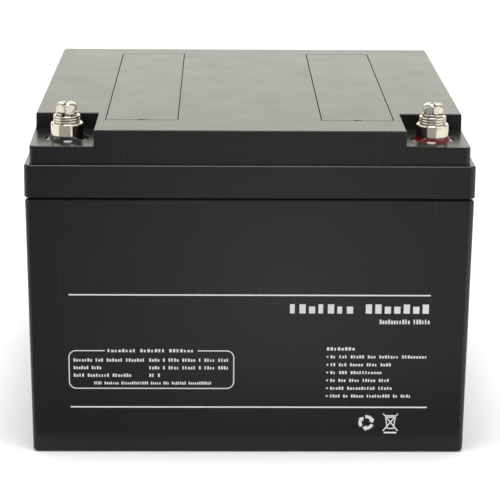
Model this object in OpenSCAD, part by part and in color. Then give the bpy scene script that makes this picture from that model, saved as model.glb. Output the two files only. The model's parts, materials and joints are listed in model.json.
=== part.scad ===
// Deep cycle battery: 12 V lithium iron phosphate pack in a 166 x 175 x 125 mm ABS case.
// Millimetres. Origin at the centre of the base, +Z up, +X right, the terminal side faces -Y.
// The negative terminal is on the left (-X) and the positive one on the right (+X).

/* [Overall] */
// Case width over the lid rim, X
case_w = 166; // [138:1:200]
// Case depth over the lid rim, Y
case_d = 175; // [145:1:210]
// Case height to the lid's top face, Z
case_h = 125; // [110:1:150]
// Moulded wall thickness
wall = 3; // [2.4:0.1:3.6]
// Base thickness of the container
floor_t = 3; // [2.4:0.1:4]

/* [Container] */
// How far the container's shoulder stands behind the rim, each side
shoulder_inset = 0.2; // [0.1:0.1:1]
// Half-width lost from the shoulder down to the base, moulding draft
draft_run = 0.8; // [0.4:0.1:1.2]
// Radius of the container's upright corners
corner_r = 2.2; // [1.5:0.1:4]
// Chamfer round the base
base_chamfer = 1.3; // [0.8:0.1:2]
// Height of the bonded lap that stands up inside the lid
lap_h = 4; // [3:0.5:6]
// Thickness of the bonded lap
lap_t = 2; // [1.6:0.1:2.4]

/* [Lid] */
// From the top face down to the rim's lower edge
rim_drop = 24.85; // [22:0.05:28]
// Height of the rim band
rim_h = 12.15; // [9:0.05:15]
// Step in from the rim to the upper block, each side
lid_inset = 2; // [1.8:0.02:3.2]
// Open shadow gap between the container's shoulder and the rim
shadow_gap = 0.65; // [0.4:0.05:1]

/* [Terminal pockets] */
// Pocket width in from the upper block's side face
pocket_w = 23.7; // [21:0.02:27]
// Pocket depth back from the upper block's front face
pocket_d = 31.1; // [26:0.02:36]
// Pocket shelf below the top face
shelf_drop = 5.95; // [5:0.05:6.5]
// Terminal axis in from the case's side
terminal_in_x = 15; // [14:0.1:16.5]
// Terminal axis back from the case's front
terminal_in_y = 16.7; // [15:0.1:19]

/* [Terminals] */
// Diameter of the round terminal post
post_d = 12; // [10:0.1:14.4]
// Diameter of the resin-filled dish round the post
dish_d = 16; // [15.6:0.1:18]
// Depth of the resin dish below the shelf
dish_depth = 3.55; // [3:0.05:4]
// Diameter of the stud below the post
stud_d = 8; // [6.8:0.1:9]
// Length of the stud below the dish floor
stud_len = 12; // [11:0.5:13]
// Nominal bolt thread diameter
bolt_d = 5; // [4.2:0.1:6]
// Bolt shank length under the head
bolt_len = 12; // [10:0.5:14]
// Bolt thread pitch
thread_pitch = 0.8; // [0.7:0.05:1]
// Across flats of the bolt head
head_af = 7.2; // [7:0.1:9]
// Height of the bolt head
head_h = 3.2; // [3:0.1:4]
// Outer diameter of the flat washers
washer_d = 10; // [9:0.1:12]
// Thickness of one flat washer
washer_t = 0.95; // [0.9:0.05:1.3]
// Flat washers under each bolt
washer_count = 3; // [1:1:3]
// Outer diameter of the spring washer
spring_d = 8.2; // [7.8:0.1:9]
// Height of the spring washer
spring_h = 1.3; // [1.2:0.1:1.8]

/* [Vent covers] */
// Width of one vent cover strip
cover_w = 26.7; // [22:0.1:32]
// Cover's front edge back from the case's front
cover_front_in = 20.8; // [18:0.1:26]
// Cover's rear edge in from the case's back
cover_rear_in = 14.6; // [10:0.1:20]
// Land between the cover and the terminal pocket
cover_land = 3.55; // [3.2:0.05:6]
// Thickness of the cover plate
cover_t = 2; // [1.6:0.1:2.4]
// Visible gap round the cover
cover_gap = 0.3; // [0.2:0.05:0.5]
// Width of the ledge the cover rests on
ledge_w = 2.3; // [1.8:0.1:3]
// Depth of the vent trough below the top face
trough_depth = 5.5; // [5:0.1:6]
// Outer diameter of a blind vent stub
vent_d = 12; // [10:0.5:14]
// Vent stubs under each cover
vent_count = 3; // [1:1:3]

/* [Cells] */
// Cells in one parallel column, front to back
cell_rows = 5; // [5:1:5]
// Longest cell the pack uses, over its button
cell_max_len = 70.5; // [60:0.5:70.5]
// Space between neighbouring cans for the holder web
cell_web = 1; // [0.8:0.1:1.2]
// Smallest side foam thickness the pack leaves
foam_min = 4; // [3:0.5:6]
// Clearance from the pack to the front and rear walls
pack_gap = 0.7; // [0.5:0.1:1]
// Thickness of the foam under the pack
base_foam_t = 3; // [2:0.5:4]
// Thickness of the bus plates
bus_t = 0.5; // [0.3:0.1:0.6]
// Thickness of the holder's retaining lip
holder_lip = 1.5; // [1.2:0.1:2]
// Overall height of a cell holder
holder_h = 12; // [9:0.5:14]

/* [Protection board] */
// Width of the board
bms_w = 96; // [84:1:96]
// Greatest depth of the board
bms_d_max = 54; // [48:1:54]
// Thickness of the board
bms_t = 1.6; // [1.2:0.1:2]
// Height of the stand-offs under the board
standoff_h = 6; // [5:0.5:7]

/* [Hidden] */
$fn = 96;
eps = 0.05;
// clearances
fit = 0.05;          // radial clearance of the bolt shank, the stud and the O-ring
lap_fit = 0.2;       // adhesive gap round the bonded lap
washer_play = 0.25;  // radial play of a washer on the bolt
stack_gap = 0.02;    // keeps stacked washers as separate solids
sleeve_fit = 0.1;    // cell sleeve to holder pocket
sleeve_t = 0.15;     // shrink sleeve wall
can_t = 0.35;        // steel can wall
// case
half_w = case_w / 2;
half_d = case_d / 2;
rim_z0 = case_h - rim_drop;
rim_z1 = rim_z0 + rim_h;
joint_z = rim_z0 - shadow_gap;
sh_w = half_w - shoulder_inset;
sh_d = half_d - shoulder_inset;
base_w = sh_w - draft_run;
base_d = sh_d - draft_run;
cav_w = base_w - wall;
cav_d = base_d - wall;
lap_w = cav_w + lap_t;
lap_d = cav_d + lap_t;
lap_z = joint_z + lap_h;
up_w = half_w - lid_inset;
up_d = half_d - lid_inset;
lid_in_w = up_w - wall;
lid_in_d = up_d - wall;
ceiling_z = case_h - wall;
// terminal pockets
pocket_x = up_w - pocket_w;
pocket_y = -up_d + pocket_d;
shelf_z = case_h - shelf_drop;
term_x = half_w - terminal_in_x;
term_y = -half_d + terminal_in_y;
post_r = post_d / 2;
dish_r = max(dish_d / 2, post_r + 1.2);
dish_z = shelf_z - dish_depth;
boss_z = dish_z - 3.5;
boss_r = dish_r + 1.5;
stud_r = stud_d / 2;
oring_h = min(1.6, post_r - stud_r - 0.4);
stud_z = dish_z - stud_len;
bore_r = bolt_d / 2 + fit;
bore_depth = 10.5;
lug_t = 2;
nut_af = stud_d * 1.625;
nut_z0 = stud_z;
nut_z1 = boss_z - lug_t;
// stack on the post
washers_z = case_h;
spring_z = washers_z + washer_count * washer_t;
head_z = spring_z + spring_h;
top_z = head_z + head_h;
// vent covers
cover_x1 = pocket_x - cover_land;
cover_x0 = cover_x1 - cover_w;
cover_y0 = -half_d + cover_front_in;
cover_y1 = half_d - cover_rear_in;
cover_z0 = case_h - cover_t;
trough_z = case_h - trough_depth;
trough_under_z = trough_z - 2.5;
rib_h = 2.2;
rib_t = 1.2;
// cells
cell_cols = 4;
pitch_y = (2 * cav_d - 2 * pack_gap) / cell_rows;
pitch_x = min((2 * cav_w - 2 * foam_min) / cell_cols, pitch_y + 0.2);
sleeve_r = (min(pitch_x, pitch_y) - cell_web) / 2 + 0.1;
can_r = sleeve_r - sleeve_t;
cell_len = min(cell_max_len, case_h - 54.5);
button_h = 1.5;
button_r = 6;
pack_w = cell_cols * pitch_x / 2;
pack_d = cell_rows * pitch_y / 2;
bus_bot_z = floor_t + base_foam_t;
hold_bot_z = bus_bot_z + bus_t;
cell_z0 = hold_bot_z + holder_lip;
cell_z1 = cell_z0 + cell_len;
hold_top_z = cell_z1 + holder_lip;
bus_top_z = hold_top_z;
sheet_z = bus_top_z + bus_t;
sheet_t = 0.6;
deck_z = sheet_z + sheet_t;
window_r = 4;
plate_half = pitch_x / 2 - 3.6;
plate_d = pack_d - 3;
sheet_w = min(1.5 * pitch_x + plate_half - 4.3, term_x - 3.6);
tap_y = -pitch_y / 2;
// board
board_z = deck_z + standoff_h;
board_top = board_z + bms_t;
board_y1 = tap_y - 5.5;
bms_d = min(bms_d_max, board_y1 + cav_d - 7.2);
board_y0 = board_y1 - bms_d;
cable_r = 2.6;

// ---------- shared shapes ----------

// block with rounded upright corners, exact arcs; hw and hd are half sizes
module block(hw, hd, z0, z1, r) {
    translate([0, 0, z0])
        linear_extrude(height = z1 - z0)
            union() {
                square([2 * (hw - r), 2 * hd], center = true);
                square([2 * hw, 2 * (hd - r)], center = true);
                for (sx = [-1, 1])
                    for (sy = [-1, 1])
                        translate([sx * (hw - r), sy * (hd - r)])
                            circle(r = r);
            }
}

module box(x0, x1, y0, y1, z0, z1) {
    translate([x0, y0, z0])
        cube([x1 - x0, y1 - y0, z1 - z0]);
}

function unit(v) = v / norm(v);
function tidy_point(v) = [for (c = v) round(c * 100) / 100];

// straight round rod between two points
module rod(a, b, r) {
    d = b - a;
    translate(a)
        rotate([0, acos(d[2] / norm(d)), atan2(d[1], d[0])])
            cylinder(r = r, h = norm(d));
}

// wire of radius r along axis-parallel legs, joined by quarter bends of radius R
module wire(points, r, R) {
    p = [for (q = points) tidy_point(q)];
    last = len(p) - 1;
    for (i = [0 : last - 1]) {
        u = unit(p[i + 1] - p[i]);
        rod(p[i] + u * (i == 0 ? 0 : R), p[i + 1] - u * (i + 1 == last ? 0 : R), r);
    }
    for (i = [1 : 1 : last - 1]) {
        u = unit(p[i] - p[i - 1]);
        n = unit(p[i + 1] - p[i]);
        w = cross(u, n);
        c = p[i] - u * R + n * R;
        multmatrix([
            [-n[0], u[0], w[0], c[0]],
            [-n[1], u[1], w[1], c[1]],
            [-n[2], u[2], w[2], c[2]],
            [0, 0, 0, 1],
        ])
            rotate_extrude(angle = 90)
                translate([R, 0])
                    circle(r = r);
    }
}

module at_terminal(side) {
    translate([side * term_x, term_y, 0])
        children();
}

function cell_x(col) = (col - (cell_cols - 1) / 2) * pitch_x;
function cell_y(row) = (row - (cell_rows - 1) / 2) * pitch_y;

module each_cell_of(col) {
    for (row = [0 : cell_rows - 1])
        translate([cell_x(col), cell_y(row), 0])
            children();
}

module each_cell() {
    for (col = [0 : cell_cols - 1])
        each_cell_of(col)
            children();
}

// ---------- container ----------

// drafted outside: trapezium across X and across Y, with the base chamfer and the shoulder
function flank(base, shoulder, lap, z_sh, z_lap) = [
    [-base + base_chamfer, 0],
    [base - base_chamfer, 0],
    [base, base_chamfer],
    [shoulder, z_sh - 1],
    [shoulder - 0.3, z_sh - 0.3],
    [shoulder - 1, z_sh],
    [lap, z_sh],
    [lap, z_lap],
    [-lap, z_lap],
    [-lap, z_sh],
    [-shoulder + 1, z_sh],
    [-shoulder + 0.3, z_sh - 0.3],
    [-shoulder, z_sh - 1],
    [-base, base_chamfer],
];

module case_container() {
    color([0.03, 0.03, 0.035])
        difference() {
            intersection() {
                translate([0, half_d, 0])
                    rotate([90, 0, 0])
                        linear_extrude(height = case_d)
                            polygon(flank(base_w, sh_w, lap_w, joint_z, lap_z));
                translate([-half_w, 0, 0])
                    rotate([90, 0, 90])
                        linear_extrude(height = case_w)
                            polygon(flank(base_d, sh_d, lap_d, joint_z, lap_z));
                block(sh_w, sh_d, 0, lap_z, corner_r);
            }
            block(cav_w, cav_d, floor_t, lap_z + 1, 1.2);
        }
}

// ---------- lid ----------

module pocket(side, grow, z0, z1) {
    x0 = pocket_x - grow;
    translate([side > 0 ? x0 : -x0 - half_w, -half_d - 5, z0])
        cube([half_w, half_d + 5 + pocket_y + grow, z1 - z0]);
}

module trough(side, x0, x1, y0, y1, z0, z1) {
    translate([side > 0 ? x0 : -x1, y0, z0])
        cube([x1 - x0, y1 - y0, z1 - z0]);
}

module vent_places(side) {
    mid_x = side * (cover_x0 + cover_x1) / 2;
    mid_y = (cover_y0 + cover_y1) / 2;
    pitch = (cover_y1 - cover_y0) / 3.1;
    for (i = [0 : vent_count - 1])
        translate([mid_x, mid_y + (i - (vent_count - 1) / 2) * pitch, 0])
            children();
}

module lid_hollow() {
    difference() {
        union() {
            block(lap_w + lap_fit, lap_d + lap_fit, rim_z0 - 1, lap_z, 0.3);
            block(min(cav_w, lid_in_w), min(cav_d, lid_in_d), lap_z - 0.5, ceiling_z, 1.2);
        }
        for (side = [-1, 1]) {
            pocket(side, wall, shelf_z - wall, case_h);
            at_terminal(side)
                translate([0, 0, boss_z])
                    cylinder(r = boss_r, h = shelf_z - boss_z);
            trough(side, cover_x0 - cover_gap - wall, cover_x1 + cover_gap + wall,
                cover_y0 - cover_gap - wall, cover_y1 + cover_gap + wall, trough_under_z, case_h);
        }
    }
}

module case_lid() {
    color([0.03, 0.03, 0.035])
        difference() {
            union() {
                block(half_w, half_d, rim_z0, rim_z1, corner_r);
                block(up_w, up_d, rim_z1 - 1, case_h, corner_r);
            }
            lid_hollow();
            for (side = [-1, 1]) {
                pocket(side, 0, shelf_z, case_h + 1);
                at_terminal(side) {
                    translate([0, 0, dish_z])
                        cylinder(r = dish_r, h = dish_depth + 1);
                    translate([0, 0, dish_z - oring_h])
                        cylinder(r = stud_r + oring_h, h = oring_h + 1);
                    translate([0, 0, boss_z - 1])
                        cylinder(r = stud_r + 2 * fit, h = 6);
                }
                trough(side, cover_x0 - cover_gap, cover_x1 + cover_gap,
                    cover_y0 - cover_gap, cover_y1 + cover_gap, cover_z0, case_h + 1);
                difference() {
                    trough(side, cover_x0 + ledge_w, cover_x1 - ledge_w,
                        cover_y0 + ledge_w, cover_y1 - ledge_w, trough_z, case_h);
                    vent_places(side)
                        translate([0, 0, trough_z - 1])
                            difference() {
                                cylinder(d = vent_d, h = cover_z0 - 0.4 - trough_z + 1);
                                translate([0, 0, 1.6])
                                    cylinder(d = vent_d - 3.4, h = 20);
                            }
                }
            }
        }
}

module vent_cover(side) {
    color([0.03, 0.03, 0.035])
        difference() {
            union() {
                trough(side, cover_x0, cover_x1, cover_y0, cover_y1, cover_z0, case_h);
                difference() {
                    trough(side, cover_x0 + ledge_w + cover_gap, cover_x1 - ledge_w - cover_gap,
                        cover_y0 + ledge_w + cover_gap, cover_y1 - ledge_w - cover_gap,
                        cover_z0 - rib_h, cover_z0 + 0.5);
                    trough(side, cover_x0 + ledge_w + cover_gap + rib_t,
                        cover_x1 - ledge_w - cover_gap - rib_t,
                        cover_y0 + ledge_w + cover_gap + rib_t,
                        cover_y1 - ledge_w - cover_gap - rib_t, cover_z0 - rib_h - 1, cover_z0);
                }
            }
            // pry notch in the front edge
            translate([side * (cover_x0 + cover_x1) / 2 - 1.5, cover_y0 - 1, case_h - 1])
                cube([3, 2, 2]);
        }
}

module left_vent_cover() {
    vent_cover(-1);
}

module right_vent_cover() {
    vent_cover(1);
}

// ---------- terminal hardware ----------

module terminal_post(side) {
    color([0.78, 0.76, 0.68])
        at_terminal(side)
            difference() {
                rotate_extrude()
                    polygon([
                        [0, stud_z],
                        [stud_r - 0.6, stud_z],
                        [stud_r, stud_z + 0.6],
                        [stud_r, dish_z],
                        [post_r, dish_z],
                        [post_r, case_h - 0.7],
                        [post_r - 0.2, case_h - 0.2],
                        [post_r - 0.7, case_h],
                        [0, case_h],
                    ]);
                translate([0, 0, case_h - bore_depth])
                    cylinder(r = bore_r, h = bore_depth + 1);
                translate([0, 0, case_h - 0.5])
                    cylinder(r1 = bore_r, r2 = bore_r + 0.6, h = 0.6);
            }
}

module neg_terminal_post() {
    terminal_post(-1);
}

module pos_terminal_post() {
    terminal_post(1);
}

module terminal_bolt(side, turn) {
    color([0.76, 0.75, 0.66])
        at_terminal(side)
            rotate([0, 0, turn])
                difference() {
                    union() {
                        translate([0, 0, head_z - bolt_len])
                            cylinder(r = bolt_d / 2, h = bolt_len + 0.5);
                        intersection() {
                            translate([0, 0, head_z])
                                cylinder(r = head_af / 2 / cos(30), h = head_h, $fn = 6);
                            translate([0, 0, head_z])
                                rotate_extrude()
                                    polygon([
                                        [0, 0],
                                        [head_af / 2 + 0.1, 0],
                                        [head_af / 2 + 0.7, 0.35],
                                        [head_af / 2 + 0.7, head_h - 0.6],
                                        [head_af / 2 - 0.2, head_h],
                                        [0, head_h],
                                    ]);
                        }
                    }
                    // cross recess in the head
                    for (a = [0, 90])
                        rotate([0, 0, a])
                            translate([-2.4, -0.55, top_z - 1.7])
                                cube([4.8, 1.1, 3]);
                }
}

module neg_terminal_bolt() {
    terminal_bolt(-1, -39);
}

module pos_terminal_bolt() {
    terminal_bolt(1, -30);
}

module spring_washer(side) {
    color([0.6, 0.6, 0.56])
        at_terminal(side)
            difference() {
                translate([0, 0, spring_z])
                    cylinder(d = spring_d, h = spring_h);
                translate([0, 0, spring_z - 1])
                    cylinder(r = bolt_d / 2 + washer_play, h = spring_h + 2);
                // slanted split
                rotate([0, 0, -115])
                    translate([spring_d / 4 + 1, 0, spring_z + spring_h / 2])
                        rotate([25, 0, 0])
                            cube([spring_d / 2 + 2, 0.5, 3 * spring_h], center = true);
            }
}

module neg_spring_washer() {
    spring_washer(-1);
}

module pos_spring_washer() {
    spring_washer(1);
}

module flat_washers(side) {
    color([0.78, 0.76, 0.68])
        at_terminal(side)
            for (i = [0 : washer_count - 1])
                translate([0, 0, washers_z + i * washer_t])
                    rotate_extrude()
                        polygon([
                            [bolt_d / 2 + washer_play, 0],
                            [washer_d / 2 - 0.15, 0],
                            [washer_d / 2, 0.15],
                            [washer_d / 2, washer_t - stack_gap - 0.15],
                            [washer_d / 2 - 0.15, washer_t - stack_gap],
                            [bolt_d / 2 + washer_play, washer_t - stack_gap],
                        ]);
}

module neg_flat_washers() {
    flat_washers(-1);
}

module pos_flat_washers() {
    flat_washers(1);
}

module seal_resin(side) {
    at_terminal(side)
        rotate_extrude()
            polygon([
                [post_r, dish_z],
                [dish_r, dish_z],
                [dish_r, shelf_z],
                [post_r + 0.95, shelf_z + 0.1],
                [post_r + 0.4, shelf_z + 0.45],
                [post_r + 0.12, shelf_z + 0.85],
                [post_r, shelf_z + 1.25],
            ]);
}

module neg_seal_resin() {
    color([0.02, 0.02, 0.025])
        seal_resin(-1);
}

module pos_seal_resin() {
    color([0.3, 0.02, 0.015])
        seal_resin(1);
}

module post_o_ring(side) {
    color([0.05, 0.05, 0.05])
        at_terminal(side)
            translate([0, 0, dish_z - oring_h / 2])
                rotate_extrude()
                    translate([stud_r + oring_h / 2, 0])
                        circle(r = oring_h / 2 - fit, $fn = 32);
}

module neg_post_o_ring() {
    post_o_ring(-1);
}

module pos_post_o_ring() {
    post_o_ring(1);
}

module post_nut(side) {
    color([0.75, 0.72, 0.5])
        at_terminal(side)
            difference() {
                translate([0, 0, nut_z0])
                    cylinder(r = nut_af / 2 / cos(30), h = nut_z1 - nut_z0, $fn = 6);
                translate([0, 0, nut_z0 - 1])
                    cylinder(r = stud_r + fit, h = 20);
            }
}

module neg_post_nut() {
    post_nut(-1);
}

module pos_post_nut() {
    post_nut(1);
}

// ring terminal with its crimped barrel pointing to the rear
module cable_lug(side) {
    ring_r = stud_r + 3.5;
    lug_z = boss_z - lug_t / 2;
    color([0.78, 0.74, 0.68])
        at_terminal(side)
            difference() {
                union() {
                    translate([0, 0, boss_z - lug_t])
                        cylinder(r = ring_r, h = lug_t);
                    translate([-4.5, 0, boss_z - lug_t])
                        cube([9, 16, lug_t]);
                    translate([0, 13, lug_z])
                        rotate([-90, 0, 0])
                            cylinder(r = cable_r + 1, h = 12);
                }
                translate([0, 0, boss_z - lug_t - 1])
                    cylinder(r = stud_r + 2 * fit, h = lug_t + 2);
                translate([0, 17, lug_z])
                    rotate([-90, 0, 0])
                        cylinder(r = cable_r + fit, h = 12);
            }
}

module neg_cable_lug() {
    cable_lug(-1);
}

module pos_cable_lug() {
    cable_lug(1);
}

// ---------- heavy cables ----------

lug_end_y = term_y + 17.5;
lug_mid_z = boss_z - lug_t / 2;
pad_y = board_y1 - 10;

module neg_output_cable() {
    color([0.06, 0.06, 0.06])
        wire([
            [-term_x, lug_end_y, lug_mid_z],
            [-term_x, pad_y, lug_mid_z],
            [-40, pad_y, lug_mid_z],
            [-40, pad_y, board_top],
        ], cable_r, 7);
}

module pos_output_cable() {
    color([0.5, 0.03, 0.03])
        wire([
            [term_x, lug_end_y, lug_mid_z],
            [term_x, 0, lug_mid_z],
            [term_x, 0, sheet_z],
        ], cable_r, 8);
}

module pack_negative_cable() {
    color([0.06, 0.06, 0.06])
        wire([
            [-term_x, 0, sheet_z],
            [-term_x, 0, board_top + 9.5],
            [-26, 0, board_top + 9.5],
            [-26, pad_y, board_top + 9.5],
            [-26, pad_y, board_top],
        ], cable_r, 5);
}

// ---------- cells ----------

// cell holder: deep pockets that grip the cells and a thin lip with a window over each end
module holder(z0, z_pocket) {
    difference() {
        translate([-pack_w, -pack_d, z0])
            cube([2 * pack_w, 2 * pack_d, holder_h]);
        each_cell() {
            translate([0, 0, z_pocket])
                cylinder(r = sleeve_r + sleeve_fit, h = holder_h - holder_lip + 1);
            translate([0, 0, z0 - 1])
                cylinder(r = sleeve_r - 3.2, h = holder_h + 2);
        }
        for (col = [0 : cell_cols - 2])
            for (row = [0 : cell_rows - 2])
                translate([cell_x(col) + pitch_x / 2, cell_y(row) + pitch_y / 2, z0 - 1])
                    cylinder(r = window_r, h = holder_h + 2);
    }
}

module lower_cell_holder() {
    color([0.08, 0.08, 0.08])
        holder(hold_bot_z, cell_z0);
}

module upper_cell_holder() {
    z0 = hold_top_z - holder_h;
    color([0.08, 0.08, 0.08])
        holder(z0, z0 - 1);
}

// odd columns stand with the button end up
function button_up(col) = col % 2 == 1;

function can_z0(col) = button_up(col) ? cell_z0 : cell_z0 + button_h;
function can_z1(col) = button_up(col) ? cell_z1 - button_h : cell_z1;

module cans(col) {
    color([0.7, 0.7, 0.68])
        each_cell_of(col)
            difference() {
                translate([0, 0, can_z0(col)])
                    cylinder(r = can_r, h = can_z1(col) - can_z0(col));
                translate([0, 0, can_z0(col) + can_t])
                    cylinder(r = can_r - can_t, h = can_z1(col) - can_z0(col) - 2 * can_t);
            }
}

module cell_cans_1() {
    cans(0);
}

module cell_cans_2() {
    cans(1);
}

module cell_cans_3() {
    cans(2);
}

module cell_cans_4() {
    cans(3);
}

module sleeves(col) {
    color([0.05, 0.25, 0.55])
        each_cell_of(col)
            difference() {
                translate([0, 0, can_z0(col)])
                    cylinder(r = sleeve_r, h = can_z1(col) - can_z0(col));
                translate([0, 0, can_z0(col) - 1])
                    cylinder(r = can_r, h = can_z1(col) - can_z0(col) + 2);
            }
}

module cell_sleeves_1() {
    sleeves(0);
}

module cell_sleeves_2() {
    sleeves(1);
}

module cell_sleeves_3() {
    sleeves(2);
}

module cell_sleeves_4() {
    sleeves(3);
}

module cell_electrode_rolls() {
    roll_len = cell_len - button_h - 2 * can_t - 6;
    color([0.3, 0.3, 0.32])
        each_cell()
            translate([0, 0, (cell_z0 + cell_z1 - roll_len) / 2])
                difference() {
                    cylinder(r = can_r - can_t - 0.3, h = roll_len);
                    translate([0, 0, -1])
                        cylinder(r = 1.5, h = roll_len + 2);
                }
}

module cell_positive_caps() {
    color([0.8, 0.8, 0.78])
        for (col = [0 : cell_cols - 1])
            each_cell_of(col)
                translate([0, 0, button_up(col) ? cell_z1 - button_h : cell_z0])
                    cylinder(r = button_r, h = button_h);
}

// ---------- bus plates ----------

// plate over columns c0..c1 with a pressed pad down (or up) to each cell
module bus_plate(c0, c1, z_plate, z_pad) {
    color([0.72, 0.42, 0.25]) {
        translate([cell_x(c0) - plate_half, -plate_d, z_plate])
            cube([cell_x(c1) - cell_x(c0) + 2 * plate_half, 2 * plate_d, bus_t]);
        for (col = [c0 : c1])
            each_cell_of(col)
                translate([0, 0, z_pad])
                    cylinder(r = 5, h = holder_lip);
    }
}

// side tab on an end plate, where the heavy cable is soldered
module bus_tab(side) {
    x_in = 1.5 * pitch_x;
    x_out = max(term_x + 4, pack_w + foam_min / 2);
    color([0.72, 0.42, 0.25])
        translate([side > 0 ? x_in : -x_out, -6, bus_top_z])
            cube([x_out - x_in, 12, bus_t]);
}

module bus_plate_negative() {
    bus_plate(0, 0, bus_top_z, cell_z1);
    bus_tab(-1);
}

module bus_plate_mid_top() {
    bus_plate(1, 2, bus_top_z, cell_z1);
}

module bus_plate_positive() {
    bus_plate(3, 3, bus_top_z, cell_z1);
    bus_tab(1);
}

module bus_plate_bottom_left() {
    bus_plate(0, 1, bus_bot_z, hold_bot_z);
}

module bus_plate_bottom_right() {
    bus_plate(2, 3, bus_bot_z, hold_bot_z);
}

// ---------- insulation, foam and straps ----------

tap_x = [-1.5 * pitch_x - 6, -pitch_x + 1.8, 0, pitch_x - 1.8, 1.5 * pitch_x + 6];
tap_back = [4, 0, 4, 0, 4];
probe_x = pitch_x + 1.8;

module top_insulation_sheet() {
    color([0.75, 0.6, 0.35])
        difference() {
            translate([-sheet_w, -plate_d + 1, sheet_z])
                cube([2 * sheet_w, 2 * plate_d - 2, sheet_t]);
            for (i = [0 : 4])
                translate([tap_x[i], tap_y + tap_back[i], sheet_z - 1])
                    cylinder(r = 1.4, h = 4);
            translate([probe_x, tap_y, sheet_z - 1])
                cylinder(r = 1.3, h = 4);
        }
}

module base_foam_pad() {
    color([0.2, 0.2, 0.2])
        translate([-cav_w + 1, -cav_d + 1, floor_t])
            cube([2 * cav_w - 2, 2 * cav_d - 2, base_foam_t]);
}

module side_foam(side) {
    t = cav_w - pack_w - 0.8;
    z0 = bus_bot_z;
    color([0.2, 0.2, 0.2])
        translate([side > 0 ? pack_w + 0.5 : -pack_w - 0.5 - t, -pack_d + 2, z0])
            cube([t, 2 * pack_d - 4, hold_top_z - z0]);
}

module left_side_foam() {
    side_foam(-1);
}

module right_side_foam() {
    side_foam(1);
}

module lid_foam_pad() {
    color([0.2, 0.2, 0.2])
        translate([-1.5 * pitch_x - 6, 6, deck_z])
            cube([3 * pitch_x + 12, cav_d - 10, trough_under_z - 0.5 - deck_z]);
}

module pack_straps() {
    tape_t = 0.3;
    in_w = 1.5 * pitch_x + sleeve_r + 0.05;
    in_d = (cell_rows - 1) / 2 * pitch_y + sleeve_r + 0.05;
    mid = (cell_z0 + cell_z1) / 2;
    tape_h = 14;
    color([0.8, 0.75, 0.5])
        for (s = [-1, 1])
            difference() {
                block(in_w + tape_t, in_d + tape_t, mid + s * 11 - tape_h / 2,
                    mid + s * 11 + tape_h / 2, sleeve_r + tape_t);
                block(in_w, in_d, mid + s * 11 - tape_h / 2 - 1,
                    mid + s * 11 + tape_h / 2 + 1, sleeve_r);
            }
}

// ---------- protection board ----------

module standoff_places() {
    for (sx = [-1, 1])
        for (y = [board_y0 + 4, board_y1 - 4])
            translate([sx * (bms_w / 2 - 4), y, 0])
                children();
}

module bms_board() {
    color([0.05, 0.25, 0.12])
        difference() {
            translate([-bms_w / 2, board_y0, board_z])
                cube([bms_w, bms_d, bms_t]);
            standoff_places()
                translate([0, 0, board_z - 1])
                    cylinder(r = 1.6, h = 4);
        }
}

module bms_standoffs() {
    color([0.85, 0.85, 0.8])
        standoff_places()
            difference() {
                translate([0, 0, deck_z])
                    cylinder(r = 3, h = standoff_h);
                translate([0, 0, deck_z + 1])
                    cylinder(r = 1.55, h = standoff_h);
            }
}

module bms_screws() {
    color([0.7, 0.7, 0.7])
        standoff_places()
            difference() {
                union() {
                    translate([0, 0, board_top])
                        cylinder(r = 2.7, h = 1.7);
                    translate([0, 0, board_top - 5])
                        cylinder(r = 1.5, h = 5.5);
                }
                translate([-1.6, -0.4, board_top + 0.9])
                    cube([3.2, 0.8, 2]);
            }
}

mosfet_h = 2.3;

module bms_mosfets() {
    color([0.04, 0.04, 0.04])
        for (i = [0 : 4])
            for (y = [board_y0 + 8, board_y0 + 18])
                translate([-32 + 16 * i - 3.3, y - 3, board_top])
                    cube([6.6, 6, mosfet_h]);
}

module bms_heatsink() {
    z0 = board_top + mosfet_h;
    color([0.75, 0.75, 0.77]) {
        translate([-39, board_y0 + 3.5, z0])
            cube([78, 20, 2.5]);
        for (i = [0 : 5])
            translate([-39, board_y0 + 3.5 + i * 3.7, z0])
                cube([78, 1.5, 7.5]);
    }
}

module bms_shunt_resistors() {
    color([0.25, 0.25, 0.25])
        for (i = [0 : 2])
            translate([-12 + i * 5, board_y1 - 21, board_top])
                cube([3.2, 6.4, 0.9]);
}

module bms_controller_chips() {
    color([0.03, 0.03, 0.03]) {
        translate([8, board_y1 - 20, board_top])
            cube([7, 7, 1.2]);
        translate([20, board_y1 - 19, board_top])
            cube([6, 5, 1.5]);
        translate([32, board_y1 - 19, board_top])
            cube([5, 4, 1.5]);
    }
}

lead_r = 0.7;
conn_y1 = board_y1 - 2;
conn_z = board_top + 2.5;

module balance_connector() {
    color([0.85, 0.83, 0.75])
        translate([-7.5, conn_y1 - 5.5, board_top])
            cube([15, 5.5, 6]);
}

function lead_rise(i) = (i == 0 || i == 4) ? 1.8 : 0;
function lead_end(i) = (i == 1 || i == 3) ? hold_bot_z : sheet_z;

module balance_leads() {
    color([0.6, 0.1, 0.1])
        for (i = [0 : 4])
            wire(concat(
                [
                    [-5 + 2.5 * i, conn_y1, conn_z + lead_rise(i)],
                    [-5 + 2.5 * i, tap_y + tap_back[i], conn_z + lead_rise(i)],
                ],
                i == 2 ? [] : [[tap_x[i], tap_y + tap_back[i], conn_z + lead_rise(i)]],
                [[tap_x[i], tap_y + tap_back[i], lead_end(i)]]
            ), lead_r, 1.6);
}

module temperature_probe() {
    z_bead = cell_z1 - 16;
    color([0.9, 0.9, 0.85]) {
        wire([
            [probe_x, board_y1 - 3, board_top + 0.8],
            [probe_x, tap_y, board_top + 0.8],
            [probe_x, tap_y, z_bead + 6],
        ], 0.6, 1.6);
        translate([probe_x, tap_y, z_bead])
            cylinder(r = 1.7, h = 10);
    }
}

// ---------- what is drawn ----------

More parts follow.
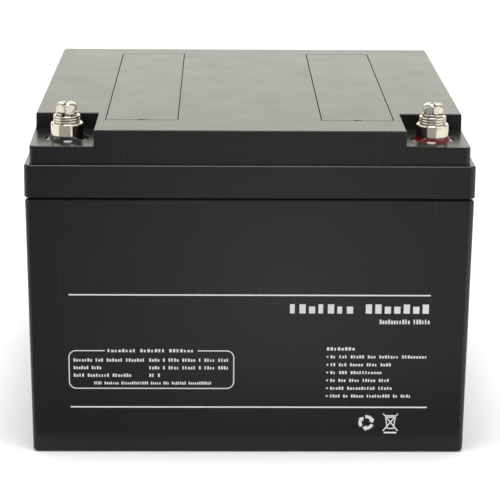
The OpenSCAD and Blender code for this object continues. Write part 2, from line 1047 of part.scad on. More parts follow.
case_container();
case_lid();
left_vent_cover();
right_vent_cover();
neg_terminal_post();
pos_terminal_post();
neg_terminal_bolt();
pos_terminal_bolt();
neg_spring_washer();
pos_spring_washer();
neg_flat_washers();
pos_flat_washers();
neg_seal_resin();
pos_seal_resin();
neg_post_o_ring();
pos_post_o_ring();
neg_post_nut();
pos_post_nut();
neg_cable_lug();
pos_cable_lug();
neg_output_cable();
pos_output_cable();
pack_negative_cable();
upper_cell_holder();
lower_cell_holder();
cell_cans_1();
cell_cans_2();
cell_cans_3();
cell_cans_4();
cell_sleeves_1();
cell_sleeves_2();
cell_sleeves_3();
cell_sleeves_4();
cell_electrode_rolls();
cell_positive_caps();
bus_plate_negative();
bus_plate_mid_top();
bus_plate_positive();
bus_plate_bottom_left();
bus_plate_bottom_right();
top_insulation_sheet();
base_foam_pad();
left_side_foam();
right_side_foam();
lid_foam_pad();
bms_board();
bms_heatsink();
bms_mosfets();
bms_shunt_resistors();
bms_controller_chips();
balance_connector();
balance_leads();
bms_standoffs();
bms_screws();
temperature_probe();
pack_straps();
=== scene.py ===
# %% [markdown]
# # A deep cycle battery
# The object is a 12 volt lithium iron phosphate battery in a moulded black ABS case, 166 mm wide,
# 175 mm deep and 125 mm high. Two bolted terminals stand in pockets at the front corners, each sealed
# with cast resin, and two long vent covers lie flush in the lid. The pack of cells inside never shows.
# The engineering model gives every position. This lesson gives each visible piece its real edges,
# radii and finish, and leaves the hidden pieces as they are with a material of their own.

# %% Load the engineering model
import json
import math
import random

import bmesh
import bpy
from mathutils import Matrix, Vector


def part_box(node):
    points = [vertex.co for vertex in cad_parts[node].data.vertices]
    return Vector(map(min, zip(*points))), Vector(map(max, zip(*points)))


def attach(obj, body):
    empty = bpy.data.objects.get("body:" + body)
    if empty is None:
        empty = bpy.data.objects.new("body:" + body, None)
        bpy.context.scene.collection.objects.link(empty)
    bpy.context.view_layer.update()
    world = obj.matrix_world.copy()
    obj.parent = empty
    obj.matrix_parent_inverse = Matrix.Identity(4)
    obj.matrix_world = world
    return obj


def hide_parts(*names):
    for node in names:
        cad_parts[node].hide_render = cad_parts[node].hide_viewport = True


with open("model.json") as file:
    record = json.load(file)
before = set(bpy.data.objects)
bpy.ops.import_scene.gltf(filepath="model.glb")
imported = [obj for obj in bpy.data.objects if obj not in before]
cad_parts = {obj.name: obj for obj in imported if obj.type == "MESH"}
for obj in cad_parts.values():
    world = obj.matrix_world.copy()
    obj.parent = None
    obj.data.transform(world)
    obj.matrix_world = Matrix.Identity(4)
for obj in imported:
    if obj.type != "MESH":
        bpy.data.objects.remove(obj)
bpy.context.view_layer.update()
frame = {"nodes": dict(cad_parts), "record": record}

MM = 0.001


# %% [markdown]
# ## Sizes taken from the engineering model
# Every size starts from the box of a named node, so that this model follows the CAD if it changes.
# The handful of sizes below that no node's box gives, such as an edge radius, are typical of an
# injection moulding: 0.3 to 0.8 mm on outside edges and nearly half a degree of draft on walls.

# %% Read the node boxes
def node_box(name):
    low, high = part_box(name)
    return [v / MM for v in low], [v / MM for v in high]


tub_low, tub_high = node_box("case_container")
lid_low, lid_high = node_box("case_lid")
cover_low, cover_high = node_box("right_vent_cover")
post_low, post_high = node_box("pos_terminal_post")
resin_low, resin_high = node_box("pos_seal_resin")
washers_low, washers_high = node_box("pos_flat_washers")
spring_low, spring_high = node_box("pos_spring_washer")
bolt_low, bolt_high = node_box("pos_terminal_bolt")
terminal_x = (post_low[0] + post_high[0]) / 2
terminal_y = (post_low[1] + post_high[1]) / 2
top_z = lid_high[2]
poles = ((-1, "neg"), (1, "pos"))
print("terminal axis, mm:", round(terminal_x, 2), round(terminal_y, 2), "lid top:", round(top_z, 2))


# %% [markdown]
# ## Camera
# The battery is seen from the front and a little above, from under a metre away, with a long lens.
# A camera's matrix is its right, up and backward directions side by side, so three angles and a
# place fix it. Pitch is the downward tilt, and yaw and roll are under a degree.

# %% Set up the camera
def camera_matrix(place, pitch, roll, yaw):
    sx, cx = math.sin(pitch), math.cos(pitch)
    sr, cr = math.sin(roll), math.cos(roll)
    sz, cz = math.sin(yaw), math.cos(yaw)
    right = Vector((cr * cz - sr * sx * sz, cr * sz + sr * sx * cz, sr * cx))
    up = Vector((-sr * cz - cr * sx * sz, -sr * sz + cr * sx * cz, cr * cx))
    back = right.cross(up)
    return Matrix.Translation(place) @ Matrix((right, up, back)).transposed().to_4x4()


camera_data = bpy.data.cameras.new("studio_camera")
camera_data.sensor_width = 36
camera_data.lens = 140.3
camera_data.clip_start = 0.05
camera_data.clip_end = 60
camera = bpy.data.objects.new("studio_camera", camera_data)
camera.matrix_world = camera_matrix(
    Vector((-11.3, -780.8, 277.4)) * MM, math.radians(15.857), math.radians(0.43), math.radians(-0.942)
)
bpy.context.scene.collection.objects.link(camera)
bpy.context.scene.camera = camera
bpy.context.scene.view_settings.view_transform = "Standard"
print("camera at", [round(v, 3) for v in camera.location])


# %% [markdown]
# ## Floor and lights
# Black glossy plastic shows mostly what it reflects, so the lights are large plain panels rather
# than points. A tall panel behind the battery gives the lid its pale sheen at a glancing angle, and
# a panel on each side lights the round metal. The upright front wall mirrors the floor before it,
# which would turn it grey. So the nearly white floor ends just in front of the battery, and goes on
# at the left and right, where it makes the bright flanks of the posts and heads. The sky is seen
# as white, and it lights the scene at less than half of that.

# %% Build the floor, the panels and the sky
def panel(name, place, target, size, power, colour=(1, 1, 1)):
    light = bpy.data.lights.new(name, "AREA")
    light.shape = "RECTANGLE"
    light.size, light.size_y = size
    light.energy = power
    light.color = colour
    lamp = bpy.data.objects.new(name, light)
    lamp.location = place
    lamp.rotation_euler = (Vector(target) - Vector(place)).to_track_quat("-Z", "Y").to_euler()
    bpy.context.scene.collection.objects.link(lamp)
    radiance = power / (math.pi * size[0] * size[1])
    print(f"{name}: radiance {radiance:.2f}")


floor_mesh = bpy.data.meshes.new("studio_floor")
floor_side, floor_near, floor_front, floor_back = 9, -2.05, -0.102, 12
floor_areas = (
    ((-floor_side, floor_side, floor_front), (-floor_side, floor_side, floor_back)),
    ((-floor_side, -2.7, floor_near), (-floor_side, -0.13, floor_front)),
    ((0.87, floor_side, floor_near), (0.09, floor_side, floor_front)),
)
floor_points = [
    point for (x0, x1, near), (x2, x3, far) in floor_areas
    for point in ((x0, near, 0), (x1, near, 0), (x3, far, 0), (x2, far, 0))
]
floor_mesh.from_pydata(floor_points, [], [(i, i + 1, i + 2, i + 3) for i in (0, 4, 8)])
floor = bpy.data.objects.new("studio_floor", floor_mesh)
bpy.context.scene.collection.objects.link(floor)
floor_material = bpy.data.materials.new("pale_floor")
floor_material.use_nodes = True
floor_shader = floor_material.node_tree.nodes["Principled BSDF"]
floor_shader.inputs["Base Color"].default_value = (0.93, 0.93, 0.925, 1)
floor_shader.inputs["Roughness"].default_value = 1.0
floor_shader.inputs["Specular IOR Level"].default_value = 0.0
floor_mesh.materials.append(floor_material)

panel("back_panel", (0, 3.2, 1.35), (0, 0, 0.2), (4.4, 2.4), 36, (1.0, 1.0, 0.84))
side_light = ((0, 0, 0.12), (1.7, 1.3), 9, (1.0, 0.99, 0.92))
panel("left_panel", (-1.5, -0.3, 0.75), *side_light)
panel("right_panel", (1.2, -0.75, 0.75), *side_light)
panel("top_panel", (0, -0.15, 2.1), (0, -0.1, 0.0), (0.9, 0.9), 30)

sky = bpy.data.worlds.new("studio_sky")
sky.use_nodes = True
sky_nodes = sky.node_tree.nodes
soft_light = sky_nodes["Background"]
soft_light.inputs["Color"].default_value = (0.97, 0.98, 1.0, 1)
soft_light.inputs["Strength"].default_value = 0.5
backdrop = sky_nodes.new("ShaderNodeBackground")
backdrop.inputs["Color"].default_value = (1, 1, 1, 1)
backdrop.inputs["Strength"].default_value = 1.1
seen_or_lighting = sky_nodes.new("ShaderNodeMixShader")
ray = sky_nodes.new("ShaderNodeLightPath")
join = sky.node_tree.links.new
join(ray.outputs["Is Camera Ray"], seen_or_lighting.inputs[0])
join(soft_light.outputs[0], seen_or_lighting.inputs[1])
join(backdrop.outputs[0], seen_or_lighting.inputs[2])
join(seen_or_lighting.outputs[0], sky_nodes["World Output"].inputs["Surface"])
bpy.context.scene.world = sky


# %% [markdown]
# ## Tools for moulded shapes
# Nearly every plastic face here belongs to a closed solid whose cross-section is a rounded
# rectangle. Such a solid can be lofted: one ring of points per height, quads between neighbouring
# rings, and a cap at each end. Pockets and troughs are then cut with the Boolean modifier, and the
# sharp edges that remain get a real radius from a bevel, because no moulded edge is truly sharp.
# The Weighted Normal modifier keeps the large faces flat-looking beside their rounded edges.

# %% Rings, lofts and cuts
def at(x, y, z):
    """A point in metres from millimetres."""
    return Vector((x, y, z)) * MM


def arc(centre, radius, start, end, steps):
    """Points of an arc about a centre, between two angles in degrees."""
    turns = [math.radians(start + (end - start) * i / steps) for i in range(steps + 1)]
    return [(centre[0] + radius * math.cos(a), centre[1] + radius * math.sin(a)) for a in turns]


def rounded_ring(half_x, half_y, radius, z, steps=6, centre=(0, 0)):
    ring = []
    for sx, sy, start in ((1, 1, 0), (-1, 1, 90), (-1, -1, 180), (1, -1, 270)):
        corner = (centre[0] + sx * (half_x - radius), centre[1] + sy * (half_y - radius))
        ring += [at(x, y, z) for x, y in arc(corner, radius, start, start + 90, steps)]
    return ring


def round_ring(radius, z, centre=(0, 0), steps=96):
    turn = [2 * math.pi * i / steps for i in range(steps)]
    return [at(centre[0] + radius * math.cos(a), centre[1] + radius * math.sin(a), z) for a in turn]


def loft(rings, closed=False):
    shape = bmesh.new()
    grid = [[shape.verts.new(p) for p in ring] for ring in rings]
    count = len(grid[0])
    pairs = list(zip(grid, grid[1:] + grid[:1] if closed else grid[1:]))
    for lower, upper in pairs:
        for i in range(count):
            j = (i + 1) % count
            shape.faces.new((lower[i], lower[j], upper[j], upper[i]))
    if not closed:
        shape.faces.new(list(reversed(grid[0])))
        shape.faces.new(grid[-1])
    bmesh.ops.recalc_face_normals(shape, faces=shape.faces)
    return shape


def as_object(name, shape):
    mesh = bpy.data.meshes.new(name)
    shape.to_mesh(mesh)
    shape.free()
    item = bpy.data.objects.new(name, mesh)
    bpy.context.scene.collection.objects.link(item)
    return item


def move(item, turn, place_mm):
    """Turns a mesh about the upright axis, in degrees, and then moves it."""
    turned_by = Matrix.Rotation(math.radians(turn), 4, "Z")
    item.data.transform(Matrix.Translation(at(*place_mm)) @ turned_by)
    return item


def settle(item):
    """Turns an object's modifiers into plain mesh and removes them."""
    bpy.context.view_layer.update()
    graph = bpy.context.evaluated_depsgraph_get()
    made = bpy.data.meshes.new_from_object(item.evaluated_get(graph), depsgraph=graph)
    item.modifiers.clear()
    old = item.data
    item.data = made
    made.name = item.name
    bpy.data.meshes.remove(old)
    return item


def combine(item, tools, operation="DIFFERENCE"):
    for tool in tools:
        step = item.modifiers.new("cut", "BOOLEAN")
        step.operation = operation
        step.solver = "EXACT"
        step.object = tool
    settle(item)
    for tool in tools:
        bpy.data.objects.remove(tool)
    return item


def round_edges(item, rule, sharper_than=50, segments=3):
    """Bevels every sharp edge by the radius in mm that rule(middle point in mm) gives."""
    shape = bmesh.new()
    shape.from_mesh(item.data)
    bmesh.ops.remove_doubles(shape, verts=shape.verts, dist=1e-6)
    flat = [e for e in shape.edges if len(e.link_faces) == 2 and e.calc_face_angle() < 0.002]
    bmesh.ops.dissolve_edges(shape, edges=flat, use_verts=True, use_face_split=False)
    limit = math.radians(sharper_than)
    done = {0, None}
    while True:
        todo = {}
        for edge in shape.edges:
            if len(edge.link_faces) == 2 and edge.calc_face_angle() > limit:
                middle = (edge.verts[0].co + edge.verts[1].co) / 2 / MM
                todo.setdefault(rule(middle), []).append(edge)
        radii = sorted((r for r in todo if r not in done), reverse=True)
        if not radii:
            break
        done.add(radii[0])
        bmesh.ops.bevel(
            shape, geom=todo[radii[0]], offset=radii[0] * MM, offset_type="OFFSET",
            segments=segments, profile=0.5, affect="EDGES", clamp_overlap=False,
        )
    shape.to_mesh(item.data)
    shape.free()
    return item


def smooth(item, angle=38, weighted=True):
    item.data.shade_smooth()
    item.data.set_sharp_from_angle(angle=math.radians(angle))
    if weighted:
        step = item.modifiers.new("flat_faces", "WEIGHTED_NORMAL")
        step.keep_sharp = True
        settle(item)
    return item


def place(item, body, material, slot, *nodes):
    item.data.materials.clear()
    item.data.materials.append(material)
    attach(item, body)
    if nodes:
        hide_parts(*nodes)
    print(f"{item.name}: {len(item.data.polygons)} faces")
    return item


# %% [markdown]
# ## Shader groups shared by several finishes
# Three effects turn up in more than one material, so each is built once as a node group. A moulded
# skin is a slow cloudiness of gloss with a fine grain on top. Handling marks are thin streaks: a
# noise stretched along one direction with only its peaks kept. Plating is a patchy brightness
# with fine turning lines. Groups only put out masks and heights, and the shaders stay outside.

# %% Build the shader groups
def add_node(tree, kind, **settings):
    node = tree.nodes.new(kind)
    for key, value in settings.items():
        if key in node.inputs:
            node.inputs[key].default_value = value
        else:
            setattr(node, key, value)
    return node


def wire(tree, *links):
    """Joins nodes: each link is a node and its output, then a node and its input."""
    for source, leaving, target, entering in links:
        tree.links.new(source.outputs[leaving], target.inputs[entering])


def ranged(tree, low, high, to_low=0.0, to_high=1.0):
    """A node that carries low..high to to_low..to_high and holds anything outside at the ends."""
    node = add_node(tree, "ShaderNodeMapRange")
    for i, value in enumerate((low, high, to_low, to_high), 1):
        node.inputs[i].default_value = value
    return node


FLOAT, VECTOR = "NodeSocketFloat", "NodeSocketVector"


def new_group(name, inputs, outputs, kind="ShaderNodeTree", output_type=FLOAT):
    """A node group with named sockets, and its input and output nodes."""
    group = bpy.data.node_groups.new(name, kind)
    for label, input_type, value in inputs:
        socket = group.interface.new_socket(label, in_out="INPUT", socket_type=input_type)
        if value is not None:
            socket.default_value = value
    for label in outputs:
        group.interface.new_socket(label, in_out="OUTPUT", socket_type=output_type)
    return group, group.nodes.new("NodeGroupInput"), group.nodes.new("NodeGroupOutput")


skin, given, result = new_group(
    "moulded_skin",
    [("Vector", VECTOR, None), ("Cloud Scale", FLOAT, 40.0), ("Grain Scale", FLOAT, 2500.0)],
    ["Cloud", "Height"],
)
cloud = add_node(skin, "ShaderNodeTexNoise", Detail=3.0, Roughness=0.55)
grain = add_node(skin, "ShaderNodeTexNoise", Detail=2.0, Roughness=0.5)
blend_height = add_node(skin, "ShaderNodeMath", operation="MULTIPLY_ADD")
blend_height.inputs[1].default_value = 6.0
wire(
    skin,
    (given, "Vector", cloud, "Vector"),
    (given, "Cloud Scale", cloud, "Scale"),
    (given, "Vector", grain, "Vector"),
    (given, "Grain Scale", grain, "Scale"),
    (cloud, "Fac", blend_height, 0),
    (grain, "Fac", blend_height, 2),
    (cloud, "Fac", result, "Cloud"),
    (blend_height, 0, result, "Height"),
)

marks, given, result = new_group(
    "handling_marks",
    [("Vector", VECTOR, None), ("Stretch", VECTOR, (1.0, 1.0, 0.05)), ("Scale", FLOAT, 900.0),
     ("Amount", FLOAT, 0.5)],
    ["Mask"],
)
stretched = add_node(marks, "ShaderNodeVectorMath", operation="MULTIPLY")
streaks = add_node(marks, "ShaderNodeTexNoise", Detail=2.0, Roughness=0.6)
patches = add_node(marks, "ShaderNodeTexNoise", Scale=22.0, Detail=2.0)
keep_peaks = ranged(marks, 0.56, 0.78)
keep_patches = ranged(marks, 0.42, 0.68)
both = add_node(marks, "ShaderNodeMath", operation="MULTIPLY")
scaled = add_node(marks, "ShaderNodeMath", operation="MULTIPLY")
wire(
    marks,
    (given, "Vector", stretched, 0),
    (given, "Stretch", stretched, 1),
    (stretched, "Vector", streaks, "Vector"),
    (given, "Scale", streaks, "Scale"),
    (given, "Vector", patches, "Vector"),
    (streaks, "Fac", keep_peaks, "Value"),
    (patches, "Fac", keep_patches, "Value"),
    (keep_peaks, "Result", both, 0),
    (keep_patches, "Result", both, 1),
    (both, 0, scaled, 0),
    (given, "Amount", scaled, 1),
    (scaled, 0, result, "Mask"),
)

plating, given, result = new_group(
    "plating_patches",
    [("Vector", VECTOR, None), ("Patch Scale", FLOAT, 500.0), ("Line Scale", FLOAT, 6000.0)],
    ["Patch", "Height"],
)
patch = add_node(plating, "ShaderNodeTexNoise", Detail=4.0, Roughness=0.6)
flatten = add_node(plating, "ShaderNodeVectorMath", operation="MULTIPLY")
flatten.inputs[1].default_value = (0.15, 0.15, 1.0)
lines = add_node(plating, "ShaderNodeTexNoise", Detail=1.0)
wire(
    plating,
    (given, "Vector", patch, "Vector"),
    (given, "Patch Scale", patch, "Scale"),
    (given, "Vector", flatten, 0),
    (flatten, "Vector", lines, "Vector"),
    (given, "Line Scale", lines, "Scale"),
    (patch, "Fac", result, "Patch"),
    (lines, "Fac", result, "Height"),
)
print("shader groups:", [g.name for g in bpy.data.node_groups])


# %% [markdown]
# ## Finishes
# A material helper starts each finish with the same chain: object coordinates into a group, the
# group's mask, its first output, into a colour mix and a roughness range, and its height into a
# faint bump. The plain numbers, such as metallic or coat, are set on the shader itself.

# %% Material helper
def finish(name, dark, light, rough, group, group_inputs, bump, bump_mm=0.02, **shader_values):
    """A material whose colour and roughness both run between two values with the group's mask."""
    material = bpy.data.materials.new(name)
    material.use_nodes = True
    tree = material.node_tree
    shader = tree.nodes["Principled BSDF"]
    for key, value in shader_values.items():
        shader.inputs[key.replace("_", " ")].default_value = value
    where = add_node(tree, "ShaderNodeTexCoord")
    effect = add_node(tree, "ShaderNodeGroup", node_tree=group)
    for key, value in group_inputs.items():
        effect.inputs[key].default_value = value
    colour = add_node(tree, "ShaderNodeMix", data_type="RGBA")
    for socket, value in ((colour.inputs[6], dark), (colour.inputs[7], light)):
        socket.default_value = (*value, 1)
    roughness = ranged(tree, 0.25, 0.75, *rough)
    relief = add_node(tree, "ShaderNodeBump", Strength=bump, Distance=bump_mm * MM)
    wire(
        tree,
        (where, "Object", effect, "Vector"),
        (effect, 0, colour, 0),
        (colour, 2, shader, "Base Color"),
        (effect, 0, roughness, "Value"),
        (roughness, "Result", shader, "Roughness"),
        (effect, "Height", relief, "Height"),
        (relief, "Normal", shader, "Normal"),
    )
    return material


def parts_of(material):
    """The tree of a finish, its shader, and the node that gives object coordinates."""
    tree = material.node_tree
    where = next(n for n in tree.nodes if n.bl_idname == "ShaderNodeTexCoord")
    return tree, tree.nodes["Principled BSDF"], where


def overlay(tree, shader, mask, output, tint):
    """Mixes a tint into the colour that a shader already has, as far as the mask says."""
    colour = add_node(tree, "ShaderNodeMix", data_type="RGBA")
    colour.inputs[7].default_value = (*tint, 1)
    tree.links.new(shader.inputs["Base Color"].links[0].from_socket, colour.inputs[6])
    wire(tree, (mask, output, colour, 0), (colour, 2, shader, "Base Color"))


def add_marks(material, stretch, scale, amount, tint):
    """Lays marks over the upright faces: a paler, rougher streak where the mask is bright."""
    tree, shader, where = parts_of(material)
    effect = add_node(tree, "ShaderNodeGroup", node_tree=marks)
    effect.inputs["Stretch"].default_value = stretch
    effect.inputs["Scale"].default_value = scale
    effect.inputs["Amount"].default_value = amount
    rougher = add_node(tree, "ShaderNodeMath", operation="MULTIPLY_ADD")
    rougher.inputs[1].default_value = 0.35
    facing = add_node(tree, "ShaderNodeSeparateXYZ")
    steep = add_node(tree, "ShaderNodeMath", operation="ABSOLUTE")
    upright = add_node(tree, "ShaderNodeMath", operation="SUBTRACT")
    upright.inputs[0].default_value = 1.0
    mask = add_node(tree, "ShaderNodeMath", operation="MULTIPLY")
    tree.links.new(shader.inputs["Roughness"].links[0].from_socket, rougher.inputs[2])
    wire(
        tree,
        (where, "Object", effect, "Vector"),
        (where, "Normal", facing, 0),
        (facing, "Z", steep, 0),
        (steep, 0, upright, 1),
        (effect, "Mask", mask, 0),
        (upright, 0, mask, 1),
        (mask, 0, rougher, 0),
        (rougher, 0, shader, "Roughness"),
    )
    overlay(tree, shader, mask, 0, tint)


def paint_light_bloom(material, centre, reach, tint):
    """Painted light and shade: a soft bloom of a lighter or darker tint, strongest at one point and
    gone at its reach (mm) each way.
    """
    tree, shader, where = parts_of(material)
    spread = add_node(tree, "ShaderNodeMapping")
    spread.inputs["Scale"].default_value = [1 / (r * MM) for r in reach]
    spread.inputs["Location"].default_value = [-v / r for v, r in zip(centre, reach)]
    ball = add_node(tree, "ShaderNodeTexGradient", gradient_type="SPHERICAL")
    wire(tree, (where, "Object", spread, "Vector"), (spread, "Vector", ball, "Vector"))
    overlay(tree, shader, ball, "Fac", tint)


# %% [markdown]
# The case is black ABS straight from a polished mould. At a glancing angle it mirrors the room and
# looks pale, and face-on it is nearly black. So the colour stays almost black, the gloss is high
# with a slow variation, and faint upright rub marks sit on the walls. Two soft blooms of painted
# light sit on the front wall: a painted pale reflection in its middle and painted shade at its foot.
# The covers come from another mould with the same finish. The two resins are cast epoxy, which sets
# to a wet-looking surface.

# %% Plastic and resin finishes
abs_dark, abs_light = (0.0095, 0.0095, 0.0092), (0.013, 0.013, 0.0124)
abs_black = finish(
    "case_abs", abs_dark, abs_light, (0.215, 0.27), skin,
    {"Cloud Scale": 55.0, "Grain Scale": 2600.0}, 0.05,
    IOR=1.5, Specular_IOR_Level=0.3,
)
add_marks(abs_black, (1.0, 1.0, 0.06), 620.0, 0.42, (0.03, 0.03, 0.028))
# Painted reflection: a pale bloom in the middle of the front wall stands in for the bright floor and
# room that the gloss mirrors there.
paint_light_bloom(abs_black, (14.0, -87.0, 66.0), (98.0, 98.0, 92.0), (0.034, 0.034, 0.031))
# Painted shade: the case is darkened towards its foot, where the floor close by lies in the battery's
# own shadow.
paint_light_bloom(abs_black, (0.0, 0.0, -8.0), (900.0, 900.0, 44.0), (0.001, 0.001, 0.001))
cover_black = finish(
    "cover_abs", abs_dark, abs_light, (0.21, 0.26), skin,
    {"Cloud Scale": 70.0, "Grain Scale": 2600.0}, 0.05,
    IOR=1.5, Specular_IOR_Level=0.3,
)
add_marks(cover_black, (1.0, 0.06, 1.0), 700.0, 0.12, (0.024, 0.024, 0.023))
black_resin = finish(
    "black_epoxy", (0.003, 0.003, 0.004), (0.007, 0.007, 0.008), (0.04, 0.09), skin,
    {"Cloud Scale": 220.0, "Grain Scale": 1500.0}, 0.12, 0.05,
    IOR=1.5, Specular_IOR_Level=0.35, Coat_Weight=0.35, Coat_Roughness=0.03,
)
red_resin = finish(
    "red_epoxy", (0.06, 0.0015, 0.002), (0.15, 0.0035, 0.0035), (0.04, 0.1), skin,
    {"Cloud Scale": 260.0, "Grain Scale": 1500.0}, 0.12, 0.05,
    IOR=1.5, Specular_IOR_Level=0.35, Coat_Weight=0.4, Coat_Roughness=0.03,
)
print("plastic finishes ready")


# %% [markdown]
# The posts are brass with a bright tin plate. The bolts and washers are steel with a thin, slightly
# yellow plating, smooth enough to mirror the light panels, with darker patches where it was handled.

# %% Metal finishes
tin_plate = finish(
    "tinned_brass", (0.56, 0.535, 0.43), (0.72, 0.69, 0.58), (0.06, 0.15), plating,
    {"Patch Scale": 260.0, "Line Scale": 5200.0}, 0.08, Metallic=1.0,
)
steel_plate = finish(
    "plated_steel", (0.46, 0.445, 0.37), (0.70, 0.68, 0.58), (0.07, 0.18), plating,
    {"Patch Scale": 420.0, "Line Scale": 6500.0}, 0.08, Metallic=1.0,
)
spring_plate = finish(
    "spring_steel", (0.34, 0.33, 0.27), (0.60, 0.585, 0.49), (0.1, 0.24), plating,
    {"Patch Scale": 500.0, "Line Scale": 6500.0}, 0.1, Metallic=1.0,
)
print("metal finishes ready")


# %% [markdown]
# ## Container
# The container is one open-topped moulding with a slight draft, a rounded foot, and a
# rounded shoulder that leaves a shadow line under the lid. Its wall carries a lap that the lid is
# bonded over. All of it is one stack of rounded rectangles, up the outside and down the inside.

# %% Build the container
draft_mm = 0.8
foot_radius, shoulder_radius = 1.4, 1.3
tub_corner, inner_corner, least_corner = 2.2, 0.3, 0.25
wall_mm, lap_mm, lap_high = 3.0, 2.0, 4.0
foot_half = (tub_high[0] - draft_mm, tub_high[1] - draft_mm)
shoulder_z = tub_high[2] - lap_high
inside = (foot_half[0] - wall_mm, foot_half[1] - wall_mm)
lap_half = (inside[0] + lap_mm, inside[1] + lap_mm)


def lean(z):
    """How far the drafted wall stands out at this height: nothing at the foot, all at the top."""
    return min(max((z - foot_radius) / (shoulder_z - 1 - foot_radius), 0), 1) * draft_mm


def tub_ring(inset, z):
    out = lean(z) - inset
    corner = max(tub_corner - inset, least_corner)
    return rounded_ring(foot_half[0] + out, foot_half[1] + out, corner, z)


turns = [math.radians(90 * i / 5) for i in range(6)]
rings = [tub_ring(foot_radius * (1 - math.sin(a)), foot_radius * (1 - math.cos(a))) for a in turns]
rings += [
    tub_ring(
        shoulder_radius * (1 - math.cos(a)), shoulder_z - shoulder_radius * (1 - math.sin(a))
    )
    for a in turns
]
rings += [
    rounded_ring(*lap_half, inner_corner, shoulder_z),
    rounded_ring(*lap_half, inner_corner, tub_high[2]),
    rounded_ring(*inside, inner_corner, tub_high[2]),
    rounded_ring(*inside, inner_corner, wall_mm),
]
container = smooth(as_object("container", loft(rings)))
place(container, "root", abs_black, "case_black", "case_container")


# %% [markdown]
# ## Lid
# The lid is a rim band that laps over the container, a raised block, two corner pockets with a
# shelf for the terminals, and two shallow troughs for the vent covers. It starts as one loft and
# is cut by a loft for each hollow. Outside edges get a 0.6 mm radius, and the edges round the
# troughs only 0.14 mm, so that the cover seams stay thin.

# %% Shape the lid's outside
rim_top, block_step = 112.3, 2.0
rim_corner, rim_draft = 2.3, 0.08
block_corner, block_draft = 2.0, 0.12
block_half = (lid_high[0] - block_step, lid_high[1] - block_step)
lid = as_object("lid", loft([
    rounded_ring(lid_high[0] - inset, lid_high[1] - inset, corner, z)
    for inset, corner, z in (
        (0, rim_corner, lid_low[2]), (rim_draft, rim_corner, rim_top),
        (block_step, block_corner, rim_top), (block_step + block_draft, block_corner, top_z),
    )
]))
pocket_x, pocket_y, shelf_z = 57.3, -54.4, 119.05
pocket_corner, pocket_draft = 0.9, 0.15
dish_z = resin_low[2]
dish_r = (resin_high[0] - resin_low[0]) / 2
stud_hole_r, seat_r, seat_depth = 4.1, 5.6, 1.6
ledge, rib_high, seam = 2.3, 2.2, 0.3
trough_floor, plate_under = 119.5, cover_low[2] + rib_high
beside, above = 110, 130
cover_half = ((cover_high[0] - cover_low[0]) / 2, (cover_high[1] - cover_low[1]) / 2)


def terminal_axis(side):
    return side * terminal_x, terminal_y


def cover_middle(side):
    return side * (cover_low[0] + cover_high[0]) / 2, (cover_low[1] + cover_high[1]) / 2


def pocket_loft(side, grow, z0, z1, draft=0.0):
    rings = []
    r = pocket_corner
    for z, out in ((z0, grow), (z1, grow + draft)):
        x, y = pocket_x - out, pocket_y + out
        bend = arc((x + r, y - r), r, 180, 90, 4)[1:]
        points = [(x, -beside), (x, y - r), *bend, (beside, y), (beside, -beside)]
        rings.append([at(side * px, py, z) for px, py in points])
    return loft(rings)


def trough_loft(side, levels):
    return loft([
        rounded_ring(cover_half[0] + out, cover_half[1] + out, radius, z, 4, cover_middle(side))
        for z, out, radius in levels
    ])


def terminal_cutter(side):
    levels = [
        (stud_hole_r, 110), (stud_hole_r, dish_z - seat_depth), (seat_r, dish_z - seat_depth),
        (seat_r, dish_z), (dish_r, dish_z), (dish_r, shelf_z + 1.95),
    ]
    return loft([round_ring(r, z, terminal_axis(side), 64) for r, z in levels])


# %% Hollow the lid and cut its pockets
lap_play, dish_wall, dish_floor, trough_wall, trough_bottom = 0.2, 1.5, 3.5, 3.3, 2.5
lap_room = (lap_half[0] + lap_play, lap_half[1] + lap_play)
lid_inside = (block_half[0] - wall_mm, block_half[1] - wall_mm)
hollow = as_object("hollow", loft([
    rounded_ring(*lap_room, inner_corner, shoulder_z),
    rounded_ring(*lap_room, inner_corner, tub_high[2]),
    rounded_ring(*lid_inside, 1.2, tub_high[2]),
    rounded_ring(*lid_inside, 1.2, top_z - wall_mm),
]))
keep, cuts = [], []
for side in (-1, 1):
    boss_r, centre = dish_r + dish_wall, terminal_axis(side)
    boss = [round_ring(boss_r, z, centre, 48) for z in (dish_z - dish_floor, above)]
    walls = [(z, trough_wall, 1) for z in (trough_floor - trough_bottom, above)]
    keep += [pocket_loft(side, wall_mm, shelf_z - wall_mm, above), loft(boss), trough_loft(side, walls)]
    trough = [(trough_floor, -ledge, 0.6), (plate_under, -ledge, 0.6), (plate_under, seam, 1.2)]
    cuts += [
        pocket_loft(side, 0, shelf_z, above, pocket_draft), terminal_cutter(side),
        trough_loft(side, trough + [(above, seam, 1.2)]),
    ]
combine(hollow, [as_object("keep", shape) for shape in keep])
combine(lid, [hollow] + [as_object("cutter", shape) for shape in cuts])
print("lid faces before the radii:", len(lid.data.polygons))


# %% [markdown]
# The lid mould is shared with a flooded battery, so each trough keeps three blind vent stubs. They
# repeat at an even pitch, which suits Geometry Nodes: a short tube is instanced along a line.

# %% Vent stubs by Geometry Nodes
INT, MATERIAL, GEOMETRY = "NodeSocketInt", "NodeSocketMaterial", "NodeSocketGeometry"


def geometry_tree(name, inputs):
    inputs = [*inputs, ("Finish", MATERIAL, None)]
    return new_group(name, inputs, ["Geometry"], "GeometryNodeTree", GEOMETRY)


def dressed(tree, given, result, made):
    """Ends a tree: instances made real, and the finish set on them."""
    real = add_node(tree, "GeometryNodeRealizeInstances")
    dress = add_node(tree, "GeometryNodeSetMaterial")
    wire(
        tree,
        (made, 0, real, "Geometry"),
        (real, "Geometry", dress, "Geometry"),
        (given, "Finish", dress, "Material"),
        (dress, "Geometry", result, "Geometry"),
    )


